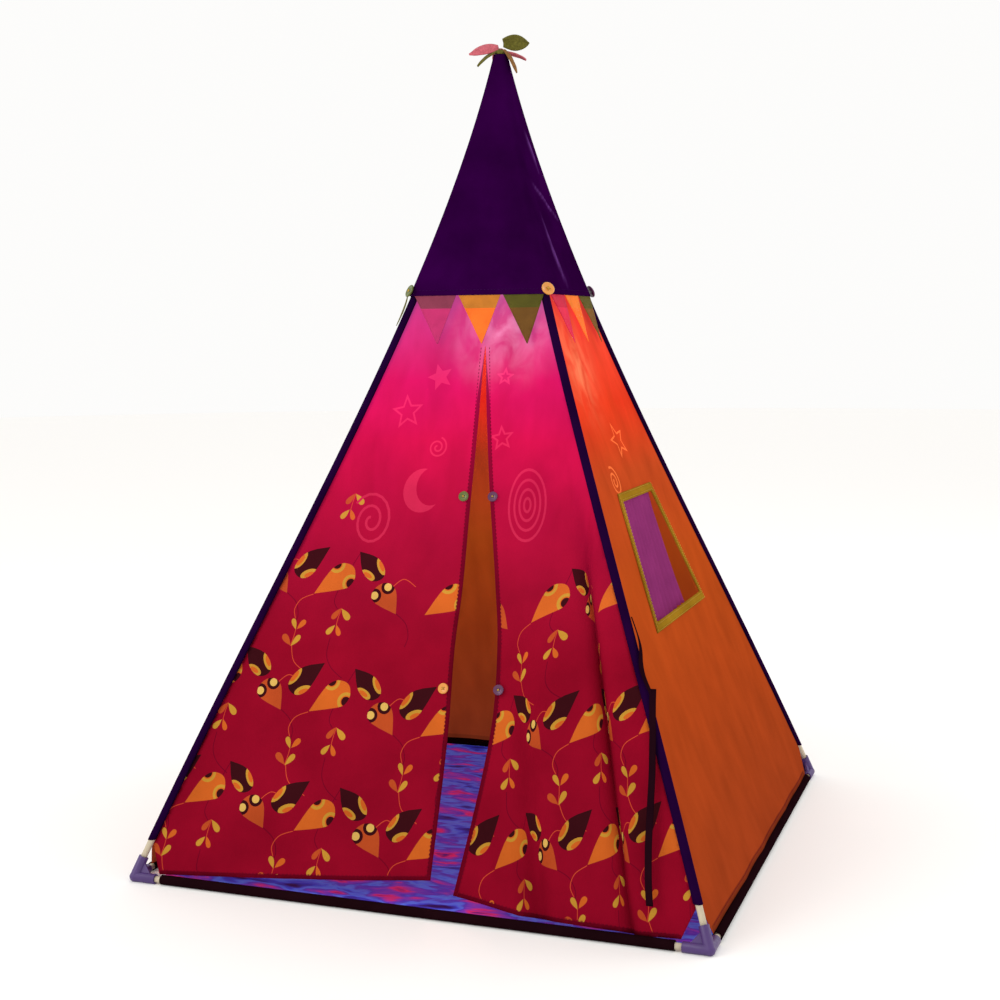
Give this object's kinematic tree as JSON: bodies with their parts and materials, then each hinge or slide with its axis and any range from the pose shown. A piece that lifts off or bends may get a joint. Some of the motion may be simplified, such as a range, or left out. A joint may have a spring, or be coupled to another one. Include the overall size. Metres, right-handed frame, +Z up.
{
  "type": "play tent",
  "caption": "Square teepee-shaped cloth play tent on tube legs, with a split front door, a curtained side window, a pointed cap with pennants, a floor mat and a hanging lamp.",
  "frame": {"origin": "on the floor, under the middle of the square base", "axes": "+Z up; the door faces -Y and the window is in the panel on the +X side"},
  "size_m": [1.0212, 1.0212, 1.4661],
  "materials": {
    "connector_plastic": "moulded, satin",
    "tube_plastic": "smooth, satin",
    "sleeve_cloth": "dark woven cloth",
    "base_sleeve_cloth": "dark woven cloth",
    "door_cloth": "printed thin woven cloth",
    "orange_cloth": "printed thin woven cloth",
    "cap_cloth": "plain woven cloth, soft sheen",
    "bunting_cloth": "plain woven cloth",
    "binding_cloth": "bias binding, stitched",
    "sheer_cloth": "sheer gathered cloth",
    "mat_cloth": "printed satin cloth",
    "strap_webbing": "narrow ribbon",
    "button_green": "polished",
    "button_orange": "polished",
    "button_purple": "polished",
    "button_rose": "polished",
    "felt_rose": "felt",
    "felt_olive": "felt",
    "lamp_plastic": "moulded",
    "lamp_lens_plastic": "frosted, lets light through",
    "circuit_board": "solder mask"
  },
  "bodies": {
    "root": {"corner_connector_front_left": "connector_plastic", "leg_lower_front_left": "tube_plastic", "leg_upper_front_left": "tube_plastic", "leg_sleeve_front_left": "sleeve_cloth", "corner_connector_front_right": "connector_plastic", "leg_lower_front_right": "tube_plastic", "leg_upper_front_right": "tube_plastic", "leg_sleeve_front_right": "sleeve_cloth", "corner_connector_back_right": "connector_plastic", "leg_lower_back_right": "tube_plastic", "leg_upper_back_right": "tube_plastic", "leg_sleeve_back_right": "sleeve_cloth", "corner_connector_back_left": "connector_plastic", "leg_lower_back_left": "tube_plastic", "leg_upper_back_left": "tube_plastic", "leg_sleeve_back_left": "sleeve_cloth", "base_tube_front": "tube_plastic", "base_sleeve_front": "base_sleeve_cloth", "bunting_front": "bunting_cloth", "base_tube_right": "tube_plastic", "base_sleeve_right": "base_sleeve_cloth", "bunting_right": "bunting_cloth", "base_tube_back": "tube_plastic", "base_sleeve_back": "base_sleeve_cloth", "bunting_back": "bunting_cloth", "base_tube_left": "tube_plastic", "base_sleeve_left": "base_sleeve_cloth", "bunting_left": "bunting_cloth", "top_hub": "connector_plastic", "front_panel": "door_cloth", "right_panel": "orange_cloth", "left_panel": "orange_cloth", "back_panel": "orange_cloth", "window_binding": "binding_cloth", "cap": "cap_cloth", "floor_mat": "mat_cloth", "cap_button_green": "button_green", "cap_button_orange": "button_orange", "cap_button_purple": "button_purple", "cap_button_rose": "button_rose", "apex_leaf_rose": "felt_rose", "apex_leaf_olive": "felt_olive", "apex_leaf_mauve": "felt_rose", "apex_leaf_moss": "felt_olive", "apex_leaf_tan": "felt_olive", "apex_leaf_pink": "felt_rose"},
    "door_left": {"door_flap_left": "door_cloth", "door_button_green": "button_green", "door_button_orange": "button_orange"},
    "door_right": {"door_flap_right": "door_cloth", "door_button_purple_upper": "button_purple", "door_button_purple_lower": "button_purple"},
    "curtain": {"window_curtain": "sheer_cloth"},
    "strap_left": {"tie_strap_left": "strap_webbing"},
    "strap_right": {"tie_strap_right": "strap_webbing"},
    "lamp": {"lamp_strap": "strap_webbing", "lamp_housing": "lamp_plastic", "lamp_circuit": "circuit_board"},
    "lamp_button": {"lamp_lens": "lamp_lens_plastic"}
  },
  "joints": [
    {"name": "door_left_swing", "type": "hinge", "parent": "root", "child": "door_left", "pos_m": [0.013, -0.15661, 0.91305], "axis": [-0.3952, -0.3299, -0.8573], "range_deg": [0, 120]},
    {"name": "door_right_swing", "type": "hinge", "parent": "root", "child": "door_right", "pos_m": [0.027, -0.15661, 0.91305], "axis": [-0.3622, 0.3348, 0.8699], "range_deg": [0, 120]},
    {"name": "window_curtain_swing", "type": "hinge", "parent": "root", "child": "curtain", "pos_m": [0.25073, 0, 0.64683], "axis": [0, 1, 0], "range_deg": [0, 60]},
    {"name": "tie_strap_left_swing", "type": "hinge", "parent": "root", "child": "strap_left", "pos_m": [-0.345, -0.35852, 0.35648], "axis": [0, -0.9304, 0.3664], "range_deg": [0, 20]},
    {"name": "tie_strap_right_swing", "type": "hinge", "parent": "root", "child": "strap_right", "pos_m": [0.38, -0.37639, 0.36352], "axis": [0, -0.9304, 0.3664], "range_deg": [0, 25]},
    {"name": "lamp_swing", "type": "hinge", "parent": "root", "child": "lamp", "pos_m": [0, 0, 1.314], "axis": [1, 0, 0], "range_deg": [-12, 12]},
    {"name": "lamp_push", "type": "slide", "parent": "lamp", "child": "lamp_button", "axis": [0, 0, 1], "range_m": [0, 0.0025], "stiffness_N_per_m": 400}
  ]
}
